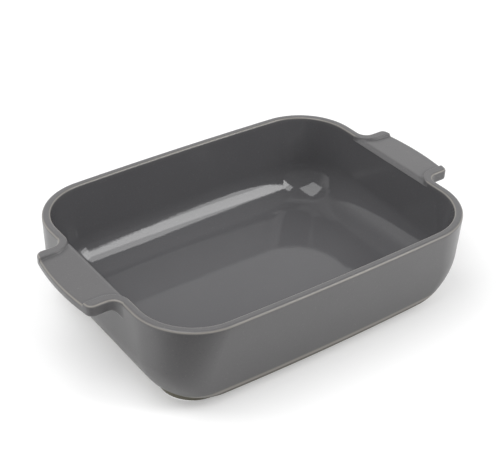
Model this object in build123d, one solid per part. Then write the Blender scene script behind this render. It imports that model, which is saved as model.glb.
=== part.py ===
from build123d import *
import math
import os

# Lasagna dish: a deep rectangular stoneware baker with a tab handle at each end.
# The wall's top edge is a flat rim band. At each end the band leaves the wall by an
# S-shaped bend and runs out as two raised lips, one along each side of the handle,
# and the handle's top lies a little lower between them. The long sides lean out and
# are flat nearly down to the base, while the ends stand steeply and then curve in
# under the dish. It stands on a low unglazed foot ring.
# The real dish is one firing. Its four portions are drawn as solids that meet face to
# face: the basin, a handle seated in the outer layer of each end wall, and the foot ring.
# X runs along the dish, Y across it and Z up. The origin is on the surface that the
# dish stands on, under its middle. Lengths are in millimetres, angles in degrees.

# Whole dish: length over the handles, how far each stands out, and the bowl at its rim,
# whose long sides bow out a little
overall_length = 320
handle_stand_out = 23.5
rim_width = 212
rim_corner_radius = 48
side_bow = 3
dish_height = 75

# Walls, floor and rim band
rim_band_width = 6.2
floor_thickness = 7
end_draft = 2.6
end_turn_radius = 38
side_draft = 10.5
side_turn_radius = 10
base_corner_radius = 26
inner_end_draft = 3
inner_side_draft = 9.5
inner_floor_corner_radius = 36
inner_turn_radius = 30
rim_outer_round = 2
rim_inner_round = 1.5

# Foot ring, set in from the rim
foot_end_inset = 20.5
foot_side_inset = 21.5
foot_corner_radius = 24
foot_ring_width = 6
foot_height = 3
foot_round = 0.8

# Handles, between the rim's corners: each bend ends this far from where a corner starts
corner_gap = 12
lip_width = 7.6
lip_bend_radius = 8
handle_end_bow = 3.5
handle_corner_radius = 5
handle_depth = 9
handle_root_fillet = 5
handle_under_round = 2
handle_seat_depth = 2
handle_seat_margin = 6

# Recess between the lips
recess_depth_at_bowl = 1.4
recess_depth_at_edge = 2.4
recess_side_slope = 25
recess_lead = 0.5
recess_lip_round = 0.8
recess_edge_round = 2
recess_mouth_round = 3
round_lead = 0.05

# Outlines that the turn of the outer wall is drawn through, between its top and bottom
turn_steps = 9

# One overrun serves every cut that has to pass a surface, and one tolerance every pick
overrun = 5
pick_tolerance = 0.001

rim_length = overall_length - 2 * handle_stand_out
half_length = rim_length / 2
handle_reach = overall_length / 2
underside = foot_height
wall_height = dish_height - underside
floor_top = underside + floor_thickness


def rounded_outline(length, width, corner, level):
    """A rectangle with slightly bowed long sides and round corners, level at one height."""
    x = length / 2
    y = width / 2
    far_side = ThreePointArc((x, y - side_bow), (0, y), (-x, y - side_bow))
    left_end = Line((-x, y - side_bow), (-x, side_bow - y))
    near_side = ThreePointArc((-x, side_bow - y), (0, -y), (x, side_bow - y))
    right_end = Line((x, side_bow - y), (x, y - side_bow))
    plan = make_face(far_side + left_end + near_side + right_end)
    return Plane.XY.offset(level) * fillet(plan.vertices(), corner)


def wall_inset(level, draft, turn):
    """How far the outer wall has drawn in below the rim, at one level."""
    slope = math.tan(math.radians(draft))
    turn_top = underside + turn * (1 - math.sin(math.radians(draft)))
    if level >= turn_top:
        return (dish_height - level) * slope
    centre = (dish_height - turn_top) * slope + turn * math.cos(math.radians(draft))
    drop = underside + turn - level
    return centre - math.sqrt(max(turn ** 2 - drop ** 2, 0))


def outer_section(level):
    """The outline of the outer wall at one level."""
    share = (level - underside) / wall_height
    length = rim_length - 2 * wall_inset(level, end_draft, end_turn_radius)
    width = rim_width - 2 * wall_inset(level, side_draft, side_turn_radius)
    corner = base_corner_radius + share * (rim_corner_radius - base_corner_radius)
    return rounded_outline(length, width, corner, level)


def turn_level(step):
    """The level of one outline of the turn, evenly spaced round the curve of the ends."""
    angle = math.radians(90 - step * (90 - end_draft) / turn_steps)
    return underside + end_turn_radius * (1 - math.sin(angle))


def corners_at(plan, x, half_spread):
    """The two corners of a plan that lie at one place along X, as far apart as stated."""
    row = plan.vertices().filter_by_position(Axis.X, x - pick_tolerance, x + pick_tolerance)
    return [v for v in row if abs(abs(v.Y) - half_spread) < pick_tolerance]


# Outer form: a smooth loft round the turn, and leaning walls above it up to the rim
turn_form = loft([outer_section(turn_level(step)) for step in range(turn_steps + 1)])
upper_form = loft([outer_section(turn_level(turn_steps)), outer_section(dish_height)], ruled=True)
outer_form = upper_form + turn_form

# Cooking space: leaning flat walls with conical corners, and a wide turn into the floor
cavity_length = rim_length - 2 * rim_band_width
cavity_width = rim_width - 2 * rim_band_width
cavity_corner_radius = rim_corner_radius - rim_band_width
cavity_depth = dish_height - floor_top
floor_length = cavity_length - 2 * cavity_depth * math.tan(math.radians(inner_end_draft))
floor_width = cavity_width - 2 * cavity_depth * math.tan(math.radians(inner_side_draft))
floor_plan = rounded_outline(floor_length, floor_width, inner_floor_corner_radius, floor_top)
mouth_plan = rounded_outline(cavity_length, cavity_width, cavity_corner_radius, dish_height)
cavity = loft([floor_plan, mouth_plan], ruled=True)
cavity = fillet(cavity.faces().sort_by(Axis.Z)[0].edges(), inner_turn_radius)

# Bowl: walls and floor, with the two edges of the rim band rounded
bowl = outer_form - cavity
rim_face = bowl.faces().sort_by(Axis.Z)[-1]
bowl = fillet(rim_face.outer_wire().edges(), rim_outer_round)
rim_face = bowl.faces().filter_by(GeomType.PLANE).sort_by(Axis.Z)[-1]
bowl = fillet(rim_face.inner_wires()[0].edges(), rim_inner_round)

# Plan of a handle with its lips: a tab with a bowed end, joined to the rim by two bends.
# The bends reach the wall at the level of the handle's underside.
lip_outer = rim_width / 2 - rim_corner_radius - corner_gap - lip_bend_radius
lip_inner = lip_outer - lip_width
tip = handle_reach - handle_end_bow
handle_under = dish_height - handle_depth
band_line = half_length - rim_band_width
blank_root = band_line + rim_inner_round
bend_foot = half_length - wall_inset(handle_under, end_draft, end_turn_radius)
root_length = bend_foot - blank_root
root_width = 2 * (lip_outer + lip_bend_radius + handle_seat_margin)
tab_sides = Polyline((tip, lip_outer), (blank_root, lip_outer), (blank_root, -lip_outer), (tip, -lip_outer))
tab_end = ThreePointArc((tip, -lip_outer), (handle_reach, 0), (tip, lip_outer))
root_plan = Pos(blank_root + root_length / 2, 0) * Rectangle(root_length, root_width)
handle_plan = make_face(tab_sides + tab_end) + root_plan
handle_plan = fillet(corners_at(handle_plan, bend_foot, lip_outer), lip_bend_radius)
handle_plan = fillet(corners_at(handle_plan, tip, lip_outer), handle_corner_radius)

# Space under a handle, in side view: level under the tab, and running down the wall in
# a hollow curve
root_foot = handle_under - handle_root_fillet
curve_end = (bend_foot + handle_root_fillet, handle_under)
under_curve = RadiusArc((bend_foot, root_foot), curve_end, -handle_root_fillet)
under_outline = Polyline(
    curve_end,
    (handle_reach + overrun, handle_under),
    (handle_reach + overrun, root_foot - overrun),
    (bend_foot, root_foot - overrun),
    (bend_foot, root_foot),
)
under_space = extrude(make_face(Plane.XZ * (under_outline + under_curve)), root_width, both=True)

# Handle blank, as high as the rim: the plan less the space under it, with the same round
# along its top edge as the rim band, and one along its lower edge
plan_block = extrude(Plane.XY.offset(root_foot) * handle_plan, dish_height - root_foot)
handle_blank = plan_block - under_space
top_edges = [
    e for e in handle_blank.faces().sort_by(Axis.Z)[-1].edges() if e.center().X > bend_foot - pick_tolerance
]
handle_blank = fillet(top_edges, rim_outer_round)
under_edges = [
    e
    for e in handle_blank.edges().filter_by_position(Axis.Z, root_foot + pick_tolerance, handle_under + pick_tolerance)
    if e.center().X > bend_foot + pick_tolerance and e.bounding_box().size.X > pick_tolerance
]
handle_blank = fillet(under_edges, handle_under_round)

# Plan of the recess between the lips: it opens to the cooking space in two wide bends
# that follow the lips' own, and runs out past the handle's end
inner_bend_radius = lip_bend_radius + (rim_band_width + lip_width) / 2
recess_start = band_line - recess_lead
recess_end = handle_reach + overrun
recess_depth = recess_depth_at_edge + recess_edge_round + overrun
bay_reach = lip_inner + inner_bend_radius + overrun
slope_room = overrun + recess_depth * math.tan(math.radians(recess_side_slope))
bay_length = overrun + slope_room
lane_length = recess_end + slope_room - recess_start
bay = Pos(recess_start - bay_length / 2, 0) * Rectangle(bay_length, 2 * (bay_reach + slope_room))
lane = Pos(recess_start + lane_length / 2, 0) * Rectangle(lane_length, 2 * lip_inner)
recess_plan = fillet(corners_at(bay + lane, recess_start, lip_inner), inner_bend_radius)
recess_plan = Plane.XY.offset(dish_height) * recess_plan

# Shoulders of the recess: the clay beside it, with sloping sides and the lips' inner
# edges rounded
surround = Pos(recess_start - overrun, 0, dish_height) * Box(
    recess_end - recess_start + overrun,
    2 * bay_reach,
    recess_depth - overrun / 2,
    align=(Align.MIN, Align.CENTER, Align.MAX),
)
shoulders = surround - extrude(recess_plan, -recess_depth, taper=recess_side_slope)
recess_outline = recess_plan.wire()
lip_edges = [
    e
    for e in shoulders.edges().filter_by_position(Axis.Z, dish_height - pick_tolerance, dish_height + pick_tolerance)
    if recess_outline.distance_to(e @ 0.5) < pick_tolerance
]
shoulders = fillet(lip_edges, recess_lip_round)

# Bed of the recess: it falls towards the handle's bowed end and is rounded there, and
# at its mouth over the bowl. Both rounds start a hair outside the face that they meet.
wall_lean = math.tan(math.radians(inner_end_draft))
bed_start = band_line - recess_depth_at_bowl * wall_lean - round_lead
bed_fall = (recess_depth_at_edge - recess_depth_at_bowl) / (handle_reach - band_line)
bed_outline = Polyline(
    (bed_start, dish_height - recess_depth_at_bowl),
    (recess_end, dish_height - recess_depth_at_bowl - bed_fall * (recess_end - bed_start)),
    (recess_end, dish_height - recess_depth),
    (band_line - recess_depth * wall_lean - round_lead, dish_height - recess_depth),
    close=True,
)
end_radius = (lip_outer ** 2 + handle_end_bow ** 2) / (2 * handle_end_bow)
end_form = Pos(handle_reach - end_radius, 0, dish_height) * Cylinder(end_radius + round_lead, 2 * dish_height)
bed = extrude(make_face(Plane.XZ * bed_outline), bay_reach + overrun, both=True) & end_form
bed = fillet(bed.faces().sort_by(Axis.Z)[-1].edges().sort_by(Axis.X)[-1], recess_edge_round)
bed = fillet(bed.faces().sort_by(Axis.Z)[-1].edges().sort_by(Axis.X)[0], recess_mouth_round)
recess = surround - shoulders - bed

# Right half of the dish in one: half the bowl and its handle, less the recess
right_side = Pos(handle_reach, 0, 0) * Box(2 * handle_reach, 2 * rim_width, 2 * (dish_height + overrun))
half_dish = (bowl & right_side) + handle_blank - recess

# Seat of the handle: the outer layer of the end wall behind it goes with the handle
seat_start = half_length - handle_seat_depth
seat_foot = root_foot - handle_seat_margin
seat = Pos(seat_start, 0, seat_foot) * Box(
    handle_reach,
    root_width,
    dish_height - seat_foot + overrun,
    align=(Align.MIN, Align.CENTER, Align.MIN),
)
right_handle = half_dish & seat
half_basin = half_dish - seat
basin = half_basin + mirror(half_basin, Plane.YZ)
left_handle = mirror(right_handle, Plane.YZ)

# Foot ring: a low upright band under the turn of the wall, cut to the wall's own form
foot_length = rim_length - 2 * foot_end_inset
foot_width = rim_width - 2 * foot_side_inset
foot_reach = underside + end_turn_radius / 2
foot_outside = rounded_outline(foot_length, foot_width, foot_corner_radius, 0)
foot_inside = rounded_outline(
    foot_length - 2 * foot_ring_width,
    foot_width - 2 * foot_ring_width,
    foot_corner_radius - foot_ring_width,
    0,
)
foot_band = extrude(foot_outside - foot_inside, foot_reach)
foot_band = fillet(foot_band.faces().sort_by(Axis.Z)[0].edges(), foot_round)
foot_ring = foot_band - outer_form

os.makedirs("parts", exist_ok=True)
nodes = {
    "basin": basin,
    "left_handle": left_handle,
    "right_handle": right_handle,
    "foot_ring": foot_ring,
}
for name, shape in nodes.items():
    size = shape.bounding_box().size
    print(name, len(shape.solids()), shape.is_valid, round(shape.volume / 1000, 1), "cm3", size)
    export_step(shape, f"parts/{name}.step")
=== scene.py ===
# %% [markdown]
# A stoneware lasagna dish. The real one is a single pressed and fired piece of clay under a
# dark grey glaze: a deep basin with a flat rim band, a handle at each end where the band runs
# out as two raised lips, and a low bare foot ring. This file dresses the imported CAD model. It
# builds a finer skin in the same frame, glazes it, and lights and frames it as a catalogue
# photograph would.

import math

import bmesh
import bpy
import numpy as np
from mathutils import Matrix, Vector


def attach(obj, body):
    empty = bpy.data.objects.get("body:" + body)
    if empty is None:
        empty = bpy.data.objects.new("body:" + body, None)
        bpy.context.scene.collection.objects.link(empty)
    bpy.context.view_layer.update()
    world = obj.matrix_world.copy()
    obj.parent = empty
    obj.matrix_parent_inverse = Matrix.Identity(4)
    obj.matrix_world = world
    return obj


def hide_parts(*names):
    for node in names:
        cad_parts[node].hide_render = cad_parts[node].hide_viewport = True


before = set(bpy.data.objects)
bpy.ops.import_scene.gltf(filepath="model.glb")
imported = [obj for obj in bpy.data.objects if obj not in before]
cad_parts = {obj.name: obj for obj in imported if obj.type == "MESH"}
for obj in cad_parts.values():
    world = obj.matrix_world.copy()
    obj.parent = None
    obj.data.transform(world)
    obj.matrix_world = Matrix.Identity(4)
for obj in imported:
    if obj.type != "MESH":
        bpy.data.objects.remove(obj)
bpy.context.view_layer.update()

# %% [markdown]
# The camera comes first, because everything else is judged through it. It stands at the near
# left corner, a third of the way up from the horizon. The values come from fitting the rim, the
# foot and the tips of the handles to the photograph. A long lens keeps the dish's sides
# nearly parallel, as product photographs do.

# %% Camera
VIEW_AZIMUTH, VIEW_ELEVATION, VIEW_ROLL = -36.045, 33.524, 1.204
VIEW_DISTANCE, LENS = 0.87497, 84.6
AIM_HEIGHT, AIM_RIGHT, AIM_UP = 0.0375, -0.00254, 0.0189


def make_camera():
    azimuth, elevation, roll = (math.radians(a) for a in (VIEW_AZIMUTH, VIEW_ELEVATION, VIEW_ROLL))
    back = Vector((
        math.sin(azimuth) * math.cos(elevation),
        -math.cos(azimuth) * math.cos(elevation),
        math.sin(elevation),
    ))
    right = Vector((math.cos(azimuth), math.sin(azimuth), 0))
    up = back.cross(right)
    place = back * VIEW_DISTANCE + right * AIM_RIGHT + up * AIM_UP + Vector((0, 0, AIM_HEIGHT))
    across = right * math.cos(roll) + up * math.sin(roll)
    upward = up * math.cos(roll) - right * math.sin(roll)
    data = bpy.data.cameras.new("catalogue_camera")
    data.lens, data.sensor_width, data.sensor_fit = LENS, 36, "HORIZONTAL"
    data.clip_start, data.clip_end = 0.01, 20
    camera = bpy.data.objects.new("catalogue_camera", data)
    turn = Matrix((across, upward, back)).transposed().to_4x4()
    camera.matrix_world = Matrix.Translation(place) @ turn
    bpy.context.scene.collection.objects.link(camera)
    bpy.context.scene.camera = camera
    return camera


camera = make_camera()
print("camera at", [round(c, 3) for c in camera.matrix_world.translation])

# %% [markdown]
# The glaze shows every unevenness of a mesh as a bent reflection, so the skin isn't made from
# the CAD triangles. It is laid out as grids of points whose lines follow the dish: one set of
# lines runs round it and the other runs over it, from the foot up the wall, over the rim band
# and down to the floor. All sizes are the model's own, in millimetres, and only the finished
# mesh is turned into metres. The dish has two mirror planes, so one quarter is enough.

# %% Sizes of the dish, in millimetres
HEIGHT, UNDERSIDE, FLOOR = 75.0, 3.0, 10.0
HALF_LENGTH, HALF_WIDTH, RIM_CORNER, BASE_CORNER, SIDE_BOW = 136.5, 106.0, 48.0, 26.0, 3.0
BAND, OUTER_ROUND, INNER_ROUND = 6.2, 2.0, 1.5
END_DRAFT, END_TURN, SIDE_DRAFT, SIDE_TURN = 2.6, 38.0, 10.5, 10.0
INNER_END_DRAFT, INNER_SIDE_DRAFT, INNER_TURN = 3.0, 9.5, 30.0
INNER_FLOOR_CORNER, INNER_RIM_CORNER = 36.0, RIM_CORNER - BAND
LIP_OUTER, LIP_INNER, BEND, REACH, BOW, TIP_ROUND = 38.0, 30.4, 8.0, 160.0, 3.5, 5.0
HANDLE_UNDER, ROOT_CURVE, UNDER_ROUND = 66.0, 5.0, 2.0
BED_DROP_AT_BOWL, BED_DROP_AT_EDGE, SLOPE_LEAN = 1.4, 2.4, 25.0
LIP_ROUND, MOUTH_ROUND, BED_CORNER = 0.8, 3.0, 0.8
LONG_STEPS, CORNER_STEPS, END_STEPS, BEND_STEPS, SIDE_STEPS, TIP_STEPS = 14, 24, 4, 12, 4, 4
BAND_STEPS, SLOPE_STEPS, BED_STEPS, ROUND_STEPS, DROP_STEPS = 6, 9, 16, 5, 8
TURN_ROWS, PROBE = 27, 10.0

mouth_length, mouth_width = HALF_LENGTH - BAND, HALF_WIDTH - BAND
inner_bend = BEND + (BAND + LIP_OUTER - LIP_INNER) / 2
end_radius = (LIP_OUTER**2 + BOW**2) / (2 * BOW)
end_centre = REACH - end_radius


def tan(degrees):
    return math.tan(math.radians(degrees))


def smooth(value):
    value = np.clip(value, 0, 1)
    return value * value * (3 - 2 * value)


print("handle end is an arc of", round(end_radius, 1), "mm")

# %% [markdown]
# The outer wall is drawn at any height by one rule: the side leans by its draft down to where
# its turn starts, and then follows a circle until it is level. The ends have a wide turn and the
# long sides a tight one. In plan the long sides bow out a little, so each is an arc of a very
# large circle. The cooking space follows the same kind of rule.

# %% Plans of the wall at one height
def inset(level, draft, turn):
    """How far the outer wall has drawn in below the rim."""
    turn_top = UNDERSIDE + turn * (1 - math.sin(math.radians(draft)))
    if level >= turn_top:
        return (HEIGHT - level) * tan(draft)
    centre = (HEIGHT - turn_top) * tan(draft) + turn * math.cos(math.radians(draft))
    return centre - math.sqrt(max(turn**2 - (UNDERSIDE + turn - level) ** 2, 0))


def bow_radius(length):
    return (length**2 + SIDE_BOW**2) / (2 * SIDE_BOW)


def outer_plan(level):
    """Half length, half width, corner radius and side's radius of the outer wall."""
    share = (level - UNDERSIDE) / (HEIGHT - UNDERSIDE)
    length = HALF_LENGTH - inset(level, END_DRAFT, END_TURN)
    width = HALF_WIDTH - inset(level, SIDE_DRAFT, SIDE_TURN)
    return length, width, BASE_CORNER + share * (RIM_CORNER - BASE_CORNER), bow_radius(length)


def inner_half(level, half, draft):
    lean = tan(draft)
    if level >= FLOOR + INNER_TURN * (1 - math.sin(math.radians(draft))):
        return half - (HEIGHT - level) * lean
    foot = half - (HEIGHT - FLOOR) * lean
    centre = foot + INNER_TURN * lean - INNER_TURN / math.cos(math.radians(draft))
    return centre + math.sqrt(max(INNER_TURN**2 - (FLOOR + INNER_TURN - level) ** 2, 0))


def inner_plan(level):
    """The same for the cooking space, whose corners tighten as it turns into the floor."""
    length = inner_half(level, mouth_length, INNER_END_DRAFT)
    width = inner_half(level, mouth_width, INNER_SIDE_DRAFT)
    share = (level - FLOOR) / (HEIGHT - FLOOR)
    cone = INNER_FLOOR_CORNER + share * (INNER_RIM_CORNER - INNER_FLOOR_CORNER)
    wall_length = mouth_length - (HEIGHT - level) * tan(INNER_END_DRAFT)
    wall_width = mouth_width - (HEIGHT - level) * tan(INNER_SIDE_DRAFT)
    return length, width, cone - (wall_length - length), bow_radius(wall_length) - (wall_width - width)


def quarter(plan, last_y):
    """Points and outward directions round a quarter: long side, corner, and end down to last_y."""
    length, width, corner, bow = plan
    corner_x = length - corner
    corner_y = width - bow + math.sqrt((bow - corner) ** 2 - corner_x**2)
    meeting = math.atan2(corner_y - width + bow, corner_x)
    along = np.linspace(math.pi / 2, meeting, LONG_STEPS + 1)
    angle = np.linspace(meeting, 0, CORNER_STEPS + 1)[1:]
    down = np.linspace(corner_y, last_y, END_STEPS + 1)[1:]
    points = np.vstack([
        np.c_[bow * np.cos(along), width - bow + bow * np.sin(along)],
        np.c_[corner_x + corner * np.cos(angle), corner_y + corner * np.sin(angle)],
        np.c_[np.full_like(down, length), down],
    ])
    facing = np.vstack([
        np.c_[np.cos(along), np.sin(along)],
        np.c_[np.cos(angle), np.sin(angle)],
        np.tile([1.0, 0.0], (len(down), 1)),
    ])
    return points, facing


print("outer plan at the floor", [round(v, 1) for v in outer_plan(FLOOR)])

# %% [markdown]
# Now the path that the rim band takes round a handle. Outside it follows the wall, bends out by
# a quarter circle, runs along the handle's side and turns the rounded tip. Each station has a
# place, a direction to face and a share of how far it has left the leaning wall behind.

# %% Stations from the wall to the tip of a lip
bend_foot = HALF_LENGTH - inset(HANDLE_UNDER, END_DRAFT, END_TURN)
bend_centre = np.array([bend_foot + BEND, LIP_OUTER + BEND])
tip_centre_y = LIP_OUTER - TIP_ROUND
tip_centre = np.array([
    end_centre + math.sqrt((end_radius - TIP_ROUND) ** 2 - tip_centre_y**2),
    tip_centre_y,
])
tip_end_angle = math.degrees(math.atan2(tip_centre_y, tip_centre[0] - end_centre))
tip_middle_angle = (90 + tip_end_angle) / 2


def lip_stations():
    bend_angle = np.radians(np.linspace(0, 90, BEND_STEPS + 1))
    bend_facing = np.c_[np.cos(bend_angle), np.sin(bend_angle)]
    bend_points = bend_centre - BEND * bend_facing
    side_x = np.linspace(bend_centre[0], tip_centre[0], SIDE_STEPS + 1)[1:]
    side_points = np.c_[side_x, np.full_like(side_x, LIP_OUTER)]
    tip_angle = np.radians(np.linspace(90, tip_middle_angle, TIP_STEPS + 1))[1:]
    tip_facing = np.c_[np.cos(tip_angle), np.sin(tip_angle)]
    points = np.vstack([bend_points, side_points, tip_centre + TIP_ROUND * tip_facing])
    facing = np.vstack([bend_facing, np.tile([0.0, 1.0], (SIDE_STEPS, 1)), tip_facing])
    away = smooth(np.minimum(np.arange(len(points)) / BEND_STEPS, 1))
    points[:, 0] += (1 - away) * (HEIGHT - HANDLE_UNDER) * tan(END_DRAFT)
    return points, facing, away


lip_points, lip_facing, lip_away = lip_stations()
LAST = len(lip_points) - 1
run = np.r_[0, np.cumsum(np.linalg.norm(np.diff(lip_points[BEND_STEPS:], axis=0), axis=1))]
toward_end = np.r_[np.zeros(BEND_STEPS), run / run[-1]]
print(len(lip_points), "stations to the tip at", lip_points[-1].round(1))

# %% [markdown]
# Across the band the section is always the same kind of line: a round over the outer edge, a
# flat top, and an inner profile. On the basin the inner profile is a round that drops into the
# steep wall. On a handle it is a tighter round, a slope and a soft corner that is painted darker
# as shade. One function draws both, so one can turn into the other round the bend.

# %% Profiles over the rim band and the lips
def edge_round(radius, lean):
    """Inset and drop along a rounded outer edge, from the top down to the leaning side."""
    reach = radius / math.tan(math.radians(90 - lean) / 2)
    angle = np.radians(np.linspace(90, -lean, ROUND_STEPS + 1))
    return reach - radius * np.cos(angle), radius - radius * np.sin(angle)


def inner_profile(radius, steepness, corner, drop):
    """Advance and drop from the flat top, over a round, down a slope and into a soft corner."""
    steep = math.radians(steepness)
    angle = np.linspace(0, steep, 4)
    advance, fall = list(radius * np.sin(angle)), list(radius * (1 - np.cos(angle)))
    slope = (drop - (radius + corner) * (1 - math.cos(steep))) / math.sin(steep)
    start = np.array([advance[-1], fall[-1]])
    end = start + slope * np.array([math.cos(steep), math.sin(steep)])
    for way in np.linspace(0, slope + corner * steep, SLOPE_STEPS - 2)[1:]:
        if way <= slope:
            x, y = start + way * np.array([math.cos(steep), math.sin(steep)])
        else:
            left = steep - (way - slope) / corner
            x = end[0] + corner * (math.sin(steep) - math.sin(left))
            y = end[1] - corner * (math.cos(steep) - math.cos(left))
        advance.append(x)
        fall.append(y)
    return np.array(advance), np.array(fall), radius * math.tan(steep / 2)


def bed_drop(x):
    """Depth of the recess below the rim, with the round at its mouth over the bowl."""
    mouth = mouth_length - (BED_DROP_AT_BOWL + MOUTH_ROUND) * tan(INNER_END_DRAFT)
    way = np.clip(x - mouth, 0, MOUTH_ROUND)
    over = MOUTH_ROUND - np.sqrt(MOUTH_ROUND**2 - (MOUTH_ROUND - way) ** 2)
    fall = (BED_DROP_AT_EDGE - BED_DROP_AT_BOWL) / (REACH - mouth_length)
    return BED_DROP_AT_BOWL + fall * np.maximum(x - mouth_length, 0) + over


MOUTH_DROP = BED_DROP_AT_BOWL + MOUTH_ROUND
print("recess depth at its mouth and edge", bed_drop(mouth_length + 1).round(2), bed_drop(REACH))

# %% [markdown]
# The top of a handle is one grid. A row runs from a lip's outer edge over the lip, down the
# slope and along the bed to the middle. The rows start along the mouth of the recess, fan out
# round the bend and end along the handle's bowed edge.

# %% Top of a handle
def end_line(y):
    """The bowed end of a handle's flat top, where the round of its edge starts."""
    return end_centre + np.sqrt((end_radius - OUTER_ROUND) ** 2 - y**2)


def tip_to_lip_edge(last_y):
    """Points of the last row across the lip: half of the tip's corner, then the bowed end."""
    angle = np.radians(np.linspace(tip_middle_angle, tip_end_angle, TIP_STEPS + 1))
    corner = tip_centre + (TIP_ROUND - OUTER_ROUND) * np.c_[np.cos(angle), np.sin(angle)]
    rest = np.linspace(corner[-1, 1], last_y, BAND_STEPS - TIP_STEPS + 1)[1:]
    return np.vstack([corner, np.c_[end_line(rest), rest]])


BAND_SHARES = np.array([0, 0.1, 0.3, 0.5, 0.7, 0.9, 1])


def lip_section(station):
    """The inner edge of the band or lip at one station: where it starts, its way in, its fall."""
    angle = math.radians(min(station / BEND_STEPS, 1) * 90)
    softer = float(smooth(angle / math.radians(40)))
    radius = INNER_ROUND + softer * (LIP_ROUND - INNER_ROUND)
    steepness = 90 - INNER_END_DRAFT - softer * (SLOPE_LEAN - INNER_END_DRAFT)
    inward = np.array([0.0, -1.0])
    if station <= BEND_STEPS:
        inward = np.array([-math.cos(angle), -math.sin(angle)])
    edge = np.array([
        mouth_length + inner_bend * (1 - math.cos(angle)),
        LIP_INNER + inner_bend * (1 - math.sin(angle)),
    ])
    start_y = LIP_INNER + LIP_ROUND * math.tan(math.radians(90 - SLOPE_LEAN) / 2)
    edge[0] += toward_end[station] * (end_line(start_y) - mouth_length - inner_bend)
    drop = MOUTH_DROP
    for _ in range(12 if station else 1):
        advance, fall, reach = inner_profile(radius, steepness, BED_CORNER * softer, drop)
        start = edge - reach * inward
        if station:
            drop = 0.5 * drop + 0.5 * float(bed_drop(start[0] + advance[-1] * inward[0]))
    return start, inward, advance, fall


def handle_row(station):
    """One row of the top grid, from the flat top's outer edge to the middle of the bed."""
    start, inward, advance, fall = lip_section(station)
    lean = END_DRAFT * (1 - lip_away[station])
    outer = lip_points[station] - edge_round(OUTER_ROUND, lean)[0][0] * lip_facing[station]
    band = outer + BAND_SHARES[:, None] * (start - outer)
    slope = start + advance[1:, None] * inward
    bed_y = slope[-1, 1] * np.linspace(1, 0, BED_STEPS + 1)[1:]
    row = np.vstack([band, slope, np.c_[np.full_like(bed_y, slope[-1, 0]), bed_y]])
    bowed = toward_end[station] ** 2
    tip = tip_to_lip_edge(start[1])
    row[: BAND_STEPS + 1] += bowed * (tip - tip[0] - BAND_SHARES[:, None] * (tip[-1] - tip[0]))
    row[BAND_STEPS + 1 :, 0] += bowed * (end_line(row[BAND_STEPS + 1 :, 1]) - end_line(start[1]))
    if station == LAST:
        row[: BAND_STEPS + 1] = tip
        row[BAND_STEPS + 1 :, 0] = end_line(row[BAND_STEPS + 1 :, 1])
    height = np.full(len(row), HEIGHT)
    height[BAND_STEPS + 1 : BAND_STEPS + SLOPE_STEPS + 1] -= fall[1:]
    height[BAND_STEPS + SLOPE_STEPS + 1 :] -= bed_drop(row[BAND_STEPS + SLOPE_STEPS + 1 :, 0])
    return np.c_[row, height]


top_grid = np.array([handle_row(k) for k in range(LAST + 1)])
print("handle top grid", top_grid.shape)

# %% [markdown]
# Under the edge of the handle's top come its rounded edge, its side and the round below. The
# underside is another grid with the same number of rows and columns, level under the tab and
# curving down into the wall.

# %% Side and underside of a handle
def root_level(x):
    """The underside's height: level, with a hollow curve where it meets the wall."""
    way = np.clip(x - bend_foot, 0, ROOT_CURVE)
    return HANDLE_UNDER - ROOT_CURVE + np.sqrt(ROOT_CURVE**2 - (ROOT_CURVE - way) ** 2)


def side_strip(corner, facing, top, lean, under_round):
    """Points down one station of a handle's side, from its flat top to its underside."""
    insets, drops = edge_round(OUTER_ROUND, lean)
    places = [np.r_[corner - i * facing, top - d] for i, d in zip(insets, drops)]
    lowest = corner - ((HEIGHT - HANDLE_UNDER) * tan(lean) + under_round) * facing
    foot = float(root_level(lowest[0]))
    height = places[-1][2] - foot - under_round
    for way in np.linspace(0, height + under_round * math.pi / 2, DROP_STEPS + 1)[1:]:
        turned = max(way - height, 0) / max(under_round, 1e-9)
        level = places[ROUND_STEPS][2] - min(way, height) - under_round * math.sin(turned)
        back = (top - level) * tan(lean) + under_round * (1 - math.cos(turned))
        places.append(np.r_[corner - back * facing, level])
    return np.array(places)


def end_facing(points):
    """Directions that the stations of the handle's end face, the tip's corner first."""
    facing = np.c_[points[:, 0] - end_centre, points[:, 1]]
    facing[: TIP_STEPS + 1] = points[: TIP_STEPS + 1, :2] - tip_centre
    return facing / np.linalg.norm(facing, axis=1)[:, None]


def handle_side():
    strips = []
    for k in range(LAST + 1):
        lean = END_DRAFT * (1 - lip_away[k])
        under = UNDER_ROUND * float(smooth(1.5 * k / BEND_STEPS))
        strips.append(side_strip(lip_points[k], lip_facing[k], HEIGHT, lean, under))
    last = top_grid[LAST]
    facing = end_facing(last)
    for point, direction in zip(last[1:], facing[1:]):
        corner = point[:2] + OUTER_ROUND * direction
        strips.append(side_strip(corner, direction, point[2], 0, UNDER_ROUND))
    return np.array(strips)


side_grid = handle_side()
end_bottom = side_grid[LAST:, -1]
column_share = end_bottom[:, 1] / end_bottom[0, 1]


def handle_underside():
    rows = []
    for k in range(LAST + 1):
        outer = side_grid[k, -1]
        weight = toward_end[k] ** 2
        x = outer[0] + weight * (end_bottom[:, 0] - end_bottom[0, 0])
        rows.append(np.c_[x, outer[1] * column_share, root_level(x)])
        rows[-1][0] = outer
    rows[-1] = end_bottom.copy()
    return np.array(rows)


under_grid = handle_underside()
root_y = under_grid[0][:, 1]
print("side grid", side_grid.shape, "underside grid", under_grid.shape)

# %% [markdown]
# The rest of the dish takes fewer words. The band runs round the basin with its two rounds, the
# outer wall goes down to the underside, and the inner wall goes down to the floor. Rows are
# close together where the surface turns and far apart where it is flat. The lean of the wall
# at the rim is measured over the uppermost 10 mm.

# %% Basin
root_foot = float(under_grid[0][0, 2])


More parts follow.
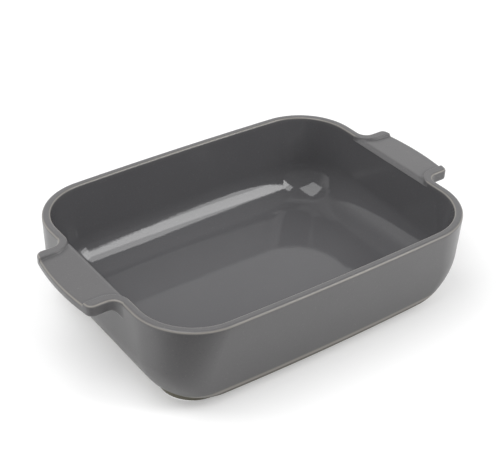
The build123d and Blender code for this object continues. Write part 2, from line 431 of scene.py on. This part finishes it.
def band_strips():
    """Sections over the rim band, from the foot of the handle's height up, over and in."""
    outer, facing = quarter(outer_plan(HEIGHT), lip_points[0][1])
    lower = quarter(outer_plan(HEIGHT - PROBE), lip_points[0][1])[0]
    inner, inner_facing = quarter(inner_plan(HEIGHT), LIP_INNER + inner_bend)
    inner_lower = quarter(inner_plan(HEIGHT - PROBE), LIP_INNER + inner_bend)[0]
    mouth = quarter(inner_plan(HEIGHT - MOUTH_DROP), LIP_INNER + inner_bend)[0]
    strips = []
    for i in range(len(outer)):
        lean = math.degrees(math.atan((outer[i] - lower[i]) @ facing[i] / PROBE))
        inner_lean = math.degrees(math.atan((inner[i] - inner_lower[i]) @ inner_facing[i] / PROBE))
        insets, drops = edge_round(OUTER_ROUND, lean)
        rounded = np.c_[outer[i] - insets[:, None] * facing[i], HEIGHT - drops]
        levels = np.linspace(rounded[-1, 2], root_foot, DROP_STEPS + 1)
        wall = [quarter(outer_plan(level), lip_points[0][1])[0][i] for level in levels]
        rounded[:, :2] += (drops / drops[-1])[:, None] * (wall[0] - rounded[-1, :2])
        wall = np.c_[np.array(wall[1:]), levels[1:]]
        advance, fall, reach = inner_profile(INNER_ROUND, 90 - inner_lean, 0.0, MOUTH_DROP)
        start = inner[i] + reach * inner_facing[i]
        slope = np.c_[start - advance[:, None] * inner_facing[i], HEIGHT - fall]
        slope[:, :2] += (fall / fall[-1])[:, None] * (mouth[i] - slope[-1, :2])
        band = rounded[0, :2] + BAND_SHARES[:, None] * (start - rounded[0, :2])
        band = np.c_[band, np.full(len(band), HEIGHT)]
        strips.append(np.vstack([wall[::-1], rounded[::-1], band[1:], slope[1:]]))
    return np.array(strips)


def outer_rows():
    turn_top = UNDERSIDE + END_TURN * (1 - math.sin(math.radians(END_DRAFT)))
    steps = np.radians(np.linspace(END_DRAFT, 90, TURN_ROWS))
    levels = list(np.linspace(root_foot, turn_top, 5)[:-1])
    levels += list(UNDERSIDE + END_TURN * (1 - np.sin(steps)))
    levels[-1] = UNDERSIDE
    rows = []
    for level in levels:
        regular = quarter(outer_plan(level), lip_points[0][1])[0]
        root = np.c_[np.full(len(root_y) - 1, outer_plan(level)[0]), root_y[1:]]
        rows.append(np.c_[np.vstack([regular, root]), np.full(len(regular) + len(root), level)])
    return np.array(rows)


def inner_rows():
    turn_top = FLOOR + INNER_TURN * (1 - math.sin(math.radians(INNER_END_DRAFT)))
    steps = np.radians(np.linspace(INNER_END_DRAFT, 90, TURN_ROWS))
    levels = [HEIGHT - MOUTH_DROP, HEIGHT - MOUTH_DROP - 1]
    levels += list(np.linspace(HEIGHT - MOUTH_DROP - 1, turn_top, 4)[1:-1])
    levels += list(FLOOR + INNER_TURN * (1 - np.sin(steps)))
    levels[-1] = FLOOR
    last_y = LIP_INNER + inner_bend
    bed_y = last_y * np.linspace(1, 0, BED_STEPS + 1)[1:]
    rows = []
    for level in levels:
        regular = quarter(inner_plan(level), last_y)[0]
        middle = np.c_[np.full(BED_STEPS, inner_plan(level)[0]), bed_y]
        rows.append(np.c_[np.vstack([regular, middle]), np.full(len(regular) + BED_STEPS, level)])
    return np.array(rows)


band_grid, outer_grid, inner_grid = band_strips(), outer_rows(), inner_rows()
print("band", band_grid.shape, "outer wall", outer_grid.shape, "inner wall", inner_grid.shape)

# %% [markdown]
# Every point carries three shares that the glaze reads later: how much of an edge it is, how
# much painted shade it gets as a hollow, and whether it is inside the bowl. Painting them by hand
# would be the other way, but the grids already know where the edges and the hollows are. On the
# lips the inner edge fades, because the glaze covers it there.

# %% Shares of edge, painted crease shade and inside for each grid
EDGE_OVER_ROUND = np.array([0.0, 0.4, 1.0, 0.7, 0.1, 0.0])
EDGE_IN_PROFILE = np.array([0.1, 0.9, 0.9, 0.1] + [0.0] * (SLOPE_STEPS - 3))
# Painted shade: the soft corner at the foot of a lip's slope is darkened, most at its last points.
SHADE_IN_PROFILE = np.array([0.0] * (SLOPE_STEPS - 2) + [0.4, 1.0, 1.0])


def shares(grid, edge=0.0, crease_shade=0.0, inside=0.0):
    """The grid's points with their three shares as further columns."""
    flat = [np.broadcast_to(np.asarray(v, float), grid.shape[:2])[..., None] for v in (edge, crease_shade, inside)]
    return np.concatenate([grid] + flat, axis=2)


band_edge = np.zeros(BAND_STEPS)
band_edge[-1] = 0.1
section_edge = np.r_[np.zeros(DROP_STEPS), EDGE_OVER_ROUND, band_edge, EDGE_IN_PROFILE[1:]]
# The inside share rises down the band's inner slope into the bowl; the glaze reads it for its gloss and for
# painted shade.
section_inside = np.r_[np.zeros(DROP_STEPS + ROUND_STEPS + 1 + BAND_STEPS), np.linspace(0.2, 1, SLOPE_STEPS)]
top_edge = np.r_[0.1, band_edge, EDGE_IN_PROFILE[1:], np.zeros(BED_STEPS)]
top_crease_shade = np.r_[np.zeros(BAND_STEPS), SHADE_IN_PROFILE, 0.5, np.zeros(BED_STEPS - 1)]
bend_share = smooth(np.arange(LAST + 1) / 5)[:, None]
side_edge = np.r_[EDGE_OVER_ROUND, np.zeros(DROP_STEPS)]
NECK = 8
lip_edge = top_edge * (1 - 0.85 * bend_share)
top = shares(top_grid, lip_edge, top_crease_shade * bend_share)
side, under = shares(side_grid, side_edge), shares(under_grid)
quarter_grids = [
    (shares(band_grid, section_edge, 0, section_inside), "basin"),
    (shares(outer_grid), "basin"),
    (shares(inner_grid, 0, 0, 1), "basin"),
    (top[: NECK + 1], "basin"),
    (top[NECK:], "handle"),
    (side[: NECK + 1], "basin"),
    (side[NECK:], "handle"),
    (under[: NECK + 1], "basin"),
    (under[NECK:], "handle"),
]
necks = [(np.array([top[NECK], under[NECK]]), "neck"), (side[NECK][None], "neck")]
print(sum(g.shape[0] * g.shape[1] for g, _ in quarter_grids), "points in a quarter")

# %% [markdown]
# The grids become one closed skin: points that coincide are joined, and the quarter is
# mirrored to all four. Two flat quarters close the floor and the underside, and faces across
# the handles' necks wait for the skin to be parted.

# %% Join the grids into one skin
def join_quarters(grids, flats):
    """Points with their shares, faces and the piece that each face belongs to."""
    found, points, faces, owners = {}, [], [], []

    def index(point):
        key = tuple(round(float(c), 3) + 0.0 for c in point[:3])
        if key not in found:
            found[key] = len(points)
            points.append(point)
        return found[key]

    def add(ring, owner):
        ring = tuple(dict.fromkeys(ring))
        if len(ring) > 2:
            faces.append(ring)
            owners.append(owner)

    for sx, sy in ((1, 1), (-1, 1), (-1, -1), (1, -1)):
        sign = np.array([sx, sy, 1, 1, 1, 1])
        end = "right" if sx > 0 else "left"
        for grid, name in grids:
            owner = name if name == "basin" else f"{end}_{name}"
            ids = [[index(p * sign) for p in row] for row in grid]
            if len(ids) == 1:
                add(ids[0], owner)
            for upper, lower in zip(ids, ids[1:]):
                for j in range(len(upper) - 1):
                    add((upper[j], lower[j], lower[j + 1], upper[j + 1]), owner)
        for flat in flats:
            add([index(p * sign) for p in flat], "basin")
    return np.array(points), faces, owners


def flat_quarter(row, inside):
    """A flat face from the last row of a wall in to the middle."""
    rim = np.vstack([row, [[0, 0, row[0, 2]]]])
    return np.c_[rim, np.tile([0, 0, inside], (len(rim), 1))]


points, faces, owners = join_quarters(
    quarter_grids + necks,
    [flat_quarter(outer_grid[-1], 0), flat_quarter(inner_grid[-1], 1)],
)
print(len(points), "points,", len(faces), "faces")

# %% [markdown]
# Mirroring turns half of the faces inside out, so all of them are turned outwards together.
# Smooth normals then lean towards the larger faces, and flats stay flat next to small rounds.

# %% Turn the faces outwards and take smooth normals
def outward(faces, places):
    """The faces, all turned outwards, and whether the shell is closed."""
    shell = bmesh.new()
    corners = [shell.verts.new(p) for p in places]
    for ring in faces:
        shell.faces.new([corners[i] for i in ring])
    bmesh.ops.recalc_face_normals(shell, faces=shell.faces[:])
    if shell.calc_volume(signed=True) < 0:
        bmesh.ops.reverse_faces(shell, faces=shell.faces[:])
    shell.verts.index_update()
    turned = [tuple(v.index for v in f.verts) for f in shell.faces]
    open_edges = sum(1 for e in shell.edges if len(e.link_faces) != 2)
    volume = shell.calc_volume(signed=True)
    shell.free()
    return turned, open_edges, volume


def area_normals(faces, places):
    """Normals that lean towards the larger faces, so flats stay flat next to small rounds."""
    normals = np.zeros((len(places), 3))
    for ring in faces:
        corners = places[list(ring)]
        following = np.roll(corners, -1, axis=0)
        area = np.cross(corners, following).sum(axis=0)
        normals[list(ring)] += area
    return normals / np.linalg.norm(normals, axis=1)[:, None]


def faces_of(*names):
    return [ring for ring, owner in zip(faces, owners) if owner in names]


skin, open_edges, volume = outward(faces_of("basin", "left_handle", "right_handle"), points[:, :3])
normals = area_normals(skin, points[:, :3])
print("open edges", open_edges, "volume", round(volume / 1000, 1), "cm3")

# %% [markdown]
# The skin is parted at the handles' roots into basin and handles, like the CAD nodes, and each
# part is closed behind. The parts keep the whole skin's smooth normals, so no seam shows.

# %% Part the skin into basin and handles
def part_out(name, *caps):
    """One piece: its share of the skin and the hidden faces at the handles' necks."""
    own = faces_of(name, *caps)
    used = sorted({i for ring in own for i in ring})
    place = {old: new for new, old in enumerate(used)}
    rings, open_edges, volume = outward([tuple(place[i] for i in ring) for ring in own], points[used, :3])
    mesh = bpy.data.meshes.new(f"{name}_glazed")
    mesh.from_pydata((points[used, :3] * 0.001).tolist(), [], rings)
    mesh.polygons.foreach_set("use_smooth", [True] * len(mesh.polygons))
    for column, share in ((3, "edge"), (4, "crease_shade"), (5, "inside")):
        layer = mesh.attributes.new(share, "FLOAT", "POINT")
        layer.data.foreach_set("value", points[used, column].astype(np.float32))
    mesh.update()
    mesh.normals_split_custom_set_from_vertices(normals[used].tolist())
    piece = bpy.data.objects.new(f"{name}_glazed", mesh)
    bpy.context.scene.collection.objects.link(piece)
    print(name, len(rings), "faces, open edges", open_edges, "volume", round(volume / 1000, 1), "cm3")
    return piece


glazed = {
    "basin": part_out("basin", "left_neck", "right_neck"),
    "left_handle": part_out("left_handle", "left_neck"),
    "right_handle": part_out("right_handle", "right_neck"),
}

# %% [markdown]
# The foot ring follows a path, so Geometry Nodes make it: a rounded rectangle is the path and
# a small block with rounded edges is carried along it. The path's long sides are drawn in
# towards their ends, because the walls above them bow out. The ring could also be cut from a
# solid, but a tree keeps its sizes as named inputs. Its upper part is buried in the clay of
# the base, as the real one is, so its height needn't follow the curve of the wall.

# %% Foot ring tree
FOOT_SIZES = {
    "Length": 0.226, "Width": 0.163, "Corner": 0.021, "Ring": 0.006, "Height": 0.009,
    "Round": 0.0008, "Bow": 0.0028,
}
CORNER_POINTS, ROUND_POINTS, PATH_POINTS = 20, 4, 260


def add_node(tree, kind, settings=None, **values):
    """A node with its settings and the values or links of its named sockets."""
    node = tree.nodes.new(kind)
    for key, value in (settings or {}).items():
        setattr(node, key, value)
    for key, value in values.items():
        socket = node.inputs[key.replace("_", " ")]
        if isinstance(value, bpy.types.NodeSocket):
            tree.links.new(value, socket)
        else:
            socket.default_value = value
    return node


def sums(tree, operation, first, second):
    node = tree.nodes.new("ShaderNodeMath")
    node.operation = operation
    for value, socket in ((first, node.inputs[0]), (second, node.inputs[1])):
        if isinstance(value, bpy.types.NodeSocket):
            tree.links.new(value, socket)
        else:
            socket.default_value = value
    return node.outputs[0]


def rounded_path(tree, length, width, radius, points):
    """A rectangle with rounded corners, as a curve."""
    flat = add_node(tree, "GeometryNodeCurvePrimitiveQuadrilateral", Width=length, Height=width)
    rounded = add_node(
        tree, "GeometryNodeFilletCurve", {"mode": "POLY"}, Curve=flat.outputs[0], Radius=radius, Count=points
    )
    return rounded.outputs[0]


def foot_tree(material):
    tree = bpy.data.node_groups.new("foot_ring_sweep", "GeometryNodeTree")
    for name, value in FOOT_SIZES.items():
        socket = tree.interface.new_socket(name, in_out="INPUT", socket_type="NodeSocketFloat")
        socket.default_value = value
    tree.interface.new_socket("Geometry", in_out="OUTPUT", socket_type="NodeSocketGeometry")
    size = tree.nodes.new("NodeGroupInput").outputs
    path = rounded_path(tree, size["Length"], size["Width"], size["Corner"], CORNER_POINTS)
    even_path = add_node(tree, "GeometryNodeResampleCurve", Curve=path, Count=PATH_POINTS)
    place = tree.nodes.new("GeometryNodeInputPosition").outputs[0]
    spot = add_node(tree, "ShaderNodeSeparateXYZ", Vector=place).outputs
    reach = sums(tree, "DIVIDE", spot["X"], sums(tree, "MULTIPLY", size["Length"], 0.5))
    drawn_in = sums(tree, "MULTIPLY", sums(tree, "MULTIPLY", reach, reach), size["Bow"])
    across = sums(tree, "DIVIDE", spot["Y"], sums(tree, "MULTIPLY", size["Width"], -0.5))
    inwards = add_node(tree, "ShaderNodeCombineXYZ", Y=sums(tree, "MULTIPLY", across, drawn_in))
    bowed = add_node(
        tree, "GeometryNodeSetPosition", Geometry=even_path.outputs[0], Offset=inwards.outputs[0]
    )
    block = rounded_path(tree, size["Ring"], size["Height"], size["Round"], ROUND_POINTS)
    sweep = add_node(tree, "GeometryNodeCurveToMesh", Curve=bowed.outputs[0], Profile_Curve=block)
    lift = add_node(tree, "ShaderNodeCombineXYZ", Z=sums(tree, "MULTIPLY", size["Height"], 0.5))
    raised = add_node(tree, "GeometryNodeSetPosition", Geometry=sweep.outputs[0], Offset=lift.outputs[0])
    even = add_node(tree, "GeometryNodeSetShadeSmooth", Geometry=raised.outputs[0])
    real = add_node(tree, "GeometryNodeRealizeInstances", Geometry=even.outputs[0])
    dressed = add_node(tree, "GeometryNodeSetMaterial", Geometry=real.outputs[0], Material=material)
    result = tree.nodes.new("NodeGroupOutput")
    tree.links.new(dressed.outputs[0], result.inputs[0])
    return tree


def make_by_tree(name, tree, values):
    """A plain mesh object from a tree, with its named inputs set."""
    host = bpy.data.objects.new(f"{name}_host", bpy.data.meshes.new(f"{name}_host"))
    bpy.context.scene.collection.objects.link(host)
    modifier = host.modifiers.new(name, "NODES")
    modifier.node_group = tree
    for item in tree.interface.items_tree:
        if item.item_type == "SOCKET" and item.in_out == "INPUT" and item.name in values:
            modifier[item.identifier] = values[item.name]
    graph = bpy.context.evaluated_depsgraph_get()
    mesh = bpy.data.meshes.new_from_object(host.evaluated_get(graph), depsgraph=graph)
    bpy.data.objects.remove(host)
    mesh.name = name
    piece = bpy.data.objects.new(name, mesh)
    bpy.context.scene.collection.objects.link(piece)
    return piece


print("foot ring inputs", list(FOOT_SIZES))

# %% [markdown]
# Shader maths reads best as ordinary expressions. This small class wraps a socket, so that
# noise * 0.2 + 0.4 builds the nodes that work it out. Two more words carry most of the load:
# between turns a range into a mask from 0 to 1, and tint mixes two colours by a mask.

# %% A socket that does sums
class Share:
    def __init__(self, tree, socket):
        self.tree, self.socket = tree, socket

    def node(self, kind, settings=None, output=0, **values):
        """Any node. A value goes to the socket of that name, with __ for a space, or number."""
        made = self.tree.nodes.new(kind)
        for key, value in (settings or {}).items():
            setattr(made, key, value)
        for key, value in values.items():
            name = key.replace("__", " ")
            numbered = name[0] == "i" and name[1:].isdigit()
            socket = made.inputs[int(name[1:]) if numbered else name]
            if isinstance(value, Share):
                self.tree.links.new(value.socket, socket)
            else:
                socket.default_value = value
        return Share(self.tree, made.outputs[output])

    def sum(self, operation, first, second):
        return self.node("ShaderNodeMath", {"operation": operation}, i0=first, i1=second)

    def __add__(self, other):
        return self.sum("ADD", self, other)

    def __sub__(self, other):
        return self.sum("SUBTRACT", self, other)

    def __rsub__(self, other):
        return self.sum("SUBTRACT", other, self)

    def __mul__(self, other):
        return self.sum("MULTIPLY", self, other)

    __radd__, __rmul__ = __add__, __mul__

    def between(self, low, high):
        """0 below low, 1 above high, and a straight line from one to the other."""
        return self.node("ShaderNodeMapRange", {"clamp": True}, Value=self, From__Min=low, From__Max=high)

    def tint(self, first, second):
        """A colour from first to second as this share goes from 0 to 1."""
        return self.node("ShaderNodeMix", {"data_type": "RGBA"}, output=2, i0=self, i6=first, i7=second)


def new_material(name):
    material = bpy.data.materials.new(name)
    material.use_nodes = True
    tree = material.node_tree
    return material, tree, tree.nodes["Principled BSDF"], Share(tree, None)


# %% [markdown]
# The glaze is a dark slate grey. Where it ran thin over an edge the clay shows through as a
# lighter, warmer line. The hollow corners at the foot of the lips' slopes are painted darker as
# shade, and so is the inside of the bowl. Over the faces the glaze clouds a little and carries
# fine specks. Inside, the glaze is glossy; outside it is satin. Low on the outer wall the glaze
# ends: a pale band there is painted as the highlight where the wall turns under, and below it the
# clay is wiped clean. All of this is read from the three shares and from the height, so it stays
# put in any view.

# %% Glaze
SLATE_DARK, SLATE_LIGHT = (0.104, 0.102, 0.104, 1), (0.123, 0.121, 0.123, 1)
PALE_SPECK, DARK_SPECK = (0.22, 0.215, 0.21, 1), (0.060, 0.061, 0.066, 1)
# The second colour here is painted shade for the hollow corners at the foot of the lips' slopes.
CLAY_THROUGH, PAINTED_CREASE_SHADE = (0.320, 0.298, 0.265, 1), (0.055, 0.056, 0.061, 1)
# Painted shade: the inside of the bowl is darkened towards this colour.
INSIDE_PAINTED_SHADE = (0.075, 0.075, 0.083, 1)
# The pale colour here, with the two heights after WIPED_TOP, paints a highlight low on the outer wall where
# it turns under.
LOW_TURN_HIGHLIGHT, WIPED_CLAY = (0.300, 0.280, 0.250, 1), (0.150, 0.144, 0.122, 1)
WIPED_TOP, LOW_TURN_HIGHLIGHT_FOOT, LOW_TURN_HIGHLIGHT_TOP = (0.0096, 0.0102), (0.0098, 0.0106), (0.0122, 0.0136)


def make_glaze():
    material, tree, shader, maker = new_material("slate_glaze")
    where = maker.node("ShaderNodeTexCoord", output=3)
    edge = maker.node("ShaderNodeAttribute", {"attribute_name": "edge"}, output=2)
    crease_shade = maker.node("ShaderNodeAttribute", {"attribute_name": "crease_shade"}, output=2)
    inside = maker.node("ShaderNodeAttribute", {"attribute_name": "inside"}, output=2)
    cloud = maker.node("ShaderNodeTexNoise", Vector=where, Scale=22.0, Detail=3.0, Roughness=0.55)
    speck = maker.node("ShaderNodeTexNoise", Vector=where, Scale=900.0, Detail=2.0, Roughness=0.6)
    peel = maker.node("ShaderNodeTexNoise", Vector=where, Scale=260.0, Detail=2.0, Roughness=0.5)
    sway = maker.node("ShaderNodeTexNoise", Vector=where, Scale=28.0, Detail=1.0, Roughness=0.4)
    body = cloud.tint(SLATE_DARK, SLATE_LIGHT)
    body = (speck.between(0.62, 0.74) * 0.35).tint(body, PALE_SPECK)
    body = ((1 - speck).between(0.62, 0.74) * 0.4).tint(body, DARK_SPECK)
    thin = (edge * (0.6 + cloud * 0.5)).between(0.25, 0.95) * 0.8
    body = thin.tint(body, CLAY_THROUGH)
    # Painted shade in the hollow corners at the foot of the lips' slopes.
    body = (crease_shade * 0.3).tint(body, PAINTED_CREASE_SHADE)
    # Painted shade over the inside of the bowl.
    body = (inside * 0.45).tint(body, INSIDE_PAINTED_SHADE)
    level = maker.node("ShaderNodeSeparateXYZ", output=2, Vector=where) + (cloud - 0.5) * 0.0006
    outside = 1 - inside
    # A painted highlight in a band low on the outer wall, where it turns under.
    low_turn_highlight = outside * level.between(*LOW_TURN_HIGHLIGHT_FOOT) * (1 - level.between(*LOW_TURN_HIGHLIGHT_TOP))
    body = (low_turn_highlight * 0.85).tint(body, LOW_TURN_HIGHLIGHT)
    wiped = outside * (1 - level.between(*WIPED_TOP))
    body = wiped.tint(body, WIPED_CLAY)
    tree.links.new(body.socket, shader.inputs["Base Color"])
    rough = 0.28 - inside * 0.22 + speck * 0.03 + thin * 0.08 + wiped * 0.4
    tree.links.new(rough.socket, shader.inputs["Roughness"])
    bump = maker.node("ShaderNodeBump", Height=peel * 0.25 + sway * 1.0, Strength=0.25, Distance=0.0004)
    tree.links.new(bump.socket, shader.inputs["Normal"])
    shader.inputs["IOR"].default_value = 1.5
    return material


glaze = make_glaze()
for piece in glazed.values():
    piece.data.materials.append(glaze)
print("glaze on", len(glazed), "pieces")

# %% [markdown]
# The foot ring is wiped clean before firing so that it doesn't stick to the kiln shelf. The
# bare clay is an olive brown, matte and slightly grainy, in patches of a lighter and a darker
# tone.

# %% Bare clay and the foot ring
CLAY_DARK, CLAY_LIGHT = (0.215, 0.205, 0.165, 1), (0.300, 0.285, 0.235, 1)
CLAY_GRAIN = (0.140, 0.132, 0.112, 1)


def make_bare_clay():
    material, tree, shader, maker = new_material("bare_clay")
    where = maker.node("ShaderNodeTexCoord", output=3)
    grain = maker.node("ShaderNodeTexNoise", Vector=where, Scale=1400.0, Detail=3.0, Roughness=0.65)
    patch = maker.node("ShaderNodeTexNoise", Vector=where, Scale=45.0, Detail=3.0, Roughness=0.6)
    body = patch.tint(CLAY_DARK, CLAY_LIGHT)
    body = (grain.between(0.55, 0.75) * 0.5).tint(body, CLAY_GRAIN)
    tree.links.new(body.socket, shader.inputs["Base Color"])
    tree.links.new((0.78 + grain * 0.18).socket, shader.inputs["Roughness"])
    bump = maker.node("ShaderNodeBump", Height=grain, Strength=0.5, Distance=0.0002)
    tree.links.new(bump.socket, shader.inputs["Normal"])
    return material


foot = make_by_tree("foot_ring_bare", foot_tree(make_bare_clay()), FOOT_SIZES)
foot_low = [round(min(v.co[i] for v in foot.data.vertices), 4) for i in range(3)]
foot_high = [round(max(v.co[i] for v in foot.data.vertices), 4) for i in range(3)]
print("foot ring", len(foot.data.vertices), "points", foot_low, foot_high)

# %% [markdown]
# Each visible piece rides on the one rigid body and stands for its CAD node.

# %% Ride on the frame
for name, piece in glazed.items():
    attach(piece, "root")
    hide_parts(name)
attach(foot, "root")
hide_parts("foot_ring")
print("pieces on the frame", [*glazed, "foot_ring"])

# %% [markdown]
# The dish stands on white paper. What a ray meets depends on where it comes from. For stray
# light the paper is pale grey, so it lights the sides of the dish no more than paper would. To
# the camera it is white, with the dish's shadow on it, and further out it fades to pure white.
# For mirror-like rays it is white too, apart from a dark card in front of the near corner,
# which gives that corner its dark reflection. The paper is clear from below and has a window
# inside the foot ring, where nothing but the base can see it, so that the base can be looked at.

# %% Floor
PAPER_IN_STRAY_LIGHT, PAPER_IN_MIRRORS, PAPER_TO_CAMERA, CARD_TONE = 0.5, 1.0, 0.72, 0.05
CARD_PLACE, CARD_EDGE = (-0.24, -0.30, 0.0), (0.16, 0.24)
LIFT, FAR_LIFT, FADE = 0.28, 0.6, (0.35, 1.1)
WINDOW_CORNER, WINDOW_EDGE = (0.0935, 0.059, 0.0), (0.0219, 0.0221)
PAPER_HALF, PAPER_LEVEL = 3.0, -0.0002


def grey(tone):
    return tone, tone, tone, 1


def seen_directly(maker):
    """1 for rays that come from the camera, a mirror or a glass, and 0 for stray light."""
    camera_ray = maker.node("ShaderNodeLightPath", output=0)
    glossy_ray = maker.node("ShaderNodeLightPath", output=3)
    through_ray = maker.node("ShaderNodeLightPath", output=6)
    return maker.sum("MAXIMUM", maker.sum("MAXIMUM", camera_ray, glossy_ray), through_ray)


def beside_window(maker, where):
    """0 in a rounded rectangle inside the foot ring, and 1 round it."""
    apart = maker.node("ShaderNodeVectorMath", {"operation": "ABSOLUTE"}, i0=where)
    apart = maker.node("ShaderNodeVectorMath", {"operation": "SUBTRACT"}, i0=apart, i1=WINDOW_CORNER)
    apart = maker.node("ShaderNodeVectorMath", {"operation": "MAXIMUM"}, i0=apart, i1=(0.0, 0.0, 0.0))
    away = maker.node("ShaderNodeVectorMath", {"operation": "LENGTH"}, output=1, i0=apart)
    return away.between(*WINDOW_EDGE)


def make_paper():
    material, tree, shader, maker = new_material("white_paper")
    where = maker.node("ShaderNodeTexCoord", output=3)
    camera_ray = maker.node("ShaderNodeLightPath", output=0)
    glossy_ray = maker.node("ShaderNodeLightPath", output=3)
    card_way = maker.node(
        "ShaderNodeVectorMath", {"operation": "DISTANCE"}, output=1, i0=where, i1=CARD_PLACE
    )
    on_card = glossy_ray * (1 - card_way.between(*CARD_EDGE))
    tone = seen_directly(maker).tint(grey(PAPER_IN_STRAY_LIGHT), grey(PAPER_IN_MIRRORS))
    tone = camera_ray.tint(tone, grey(PAPER_TO_CAMERA))
    tone = on_card.tint(tone, grey(CARD_TONE))
    tree.links.new(tone.socket, shader.inputs["Base Color"])
    far = maker.node("ShaderNodeVectorMath", {"operation": "LENGTH"}, output=1, i0=where).between(*FADE)
    lift = (camera_ray * (far * FAR_LIFT + LIFT)).tint(grey(0), grey(1))
    tree.links.new(lift.socket, shader.inputs["Emission Color"])
    from_above = 1 - maker.node("ShaderNodeNewGeometry", output=6)
    tree.links.new((beside_window(maker, where) * from_above).socket, shader.inputs["Alpha"])
    shader.inputs["Emission Strength"].default_value = 1.0
    shader.inputs["Roughness"].default_value = 0.9
    shader.inputs["Specular IOR Level"].default_value = 0.1
    return material


def make_floor():
    mesh = bpy.data.meshes.new("floor")
    corners = [(x * PAPER_HALF, y * PAPER_HALF, PAPER_LEVEL) for x, y in ((-1, -1), (1, -1), (1, 1), (-1, 1))]
    mesh.from_pydata(corners, [], [(0, 1, 2, 3)])
    mesh.materials.append(make_paper())
    floor = bpy.data.objects.new("floor", mesh)
    bpy.context.scene.collection.objects.link(floor)
    return floor


floor = make_floor()
print("floor", 2 * PAPER_HALF, "m square, at", PAPER_LEVEL)

# %% [markdown]
# The world is plain white light from all round. In a studio the ceiling and the side where the
# camera stands are darker, and a glossy bowl shows it: that is what makes its far wall deep and
# its strip of light crisp. So mirror-like rays that go up or to the front find a dim world.

# %% World
STRAY_LIGHT, DIMMING = 0.52, 0.75
CEILING, FRONT, FRONT_EDGE = (0.54, 0.76), (-0.35, -0.88, 0.32), (0.35, 0.60)


def make_world():
    world = bpy.data.worlds.new("studio")
    bpy.context.scene.world = world
    world.use_nodes = True
    tree = world.node_tree
    ground = tree.nodes["Background"]
    maker = Share(tree, None)
    mirrored = maker.node("ShaderNodeLightPath", output=3)
    way = maker.node("ShaderNodeTexCoord", output=3)
    height = maker.node("ShaderNodeSeparateXYZ", output=2, Vector=way)
    to_front = maker.node("ShaderNodeVectorMath", {"operation": "DOT_PRODUCT"}, output=1, i0=way, i1=FRONT)
    dark = maker.sum("MAXIMUM", height.between(*CEILING), to_front.between(*FRONT_EDGE))
    power = seen_directly(maker) * (1 - STRAY_LIGHT) + STRAY_LIGHT - mirrored * dark * DIMMING
    ground.inputs["Color"].default_value = (1, 1, 1, 1)
    tree.links.new(power.socket, ground.inputs["Strength"])
    return world


make_world()
print("world", STRAY_LIGHT, "for stray light")

# %% [markdown]
# Four soft boxes light the dish. The key stands to the right of the camera, and its reflection
# is the long strip at the foot of the far wall, brighter in the middle because of the core in
# front of it. The overhead box is the small patch in the far corner. The fill comes from behind
# on the left and evens out the shadows. It isn't mirrored, because no such patch is seen.

# %% Lamps
def softbox(name, place, aim, width, height, power):
    data = bpy.data.lights.new(name, "AREA")
    data.shape, data.size, data.size_y, data.energy = "RECTANGLE", width, height, power
    lamp = bpy.data.objects.new(name, data)
    lamp.location = place
    lamp.rotation_euler = (Vector(aim) - Vector(place)).to_track_quat("-Z", "Y").to_euler()
    bpy.context.scene.collection.objects.link(lamp)
    return lamp


softbox("key", (0.80, -0.99, 1.05), (0, 0, 0.02), 0.5, 1.3, 8.4)
softbox("key_core", (0.77, -0.99, 0.98), (0, 0, 0.02), 0.5, 0.6, 2.7)
softbox("overhead", (-0.58, -0.02, 1.45), (-0.58, -0.02, 0), 1.2, 0.95, 12.0)
fill = softbox("fill", (-0.85, 0.95, 1.10), (0, 0, 0.03), 1.3, 1.2, 8.5)
fill.visible_glossy = False
bpy.context.scene.view_settings.view_transform = "Standard"
print("lamps", sum(lamp.energy for lamp in bpy.data.lights), "W")
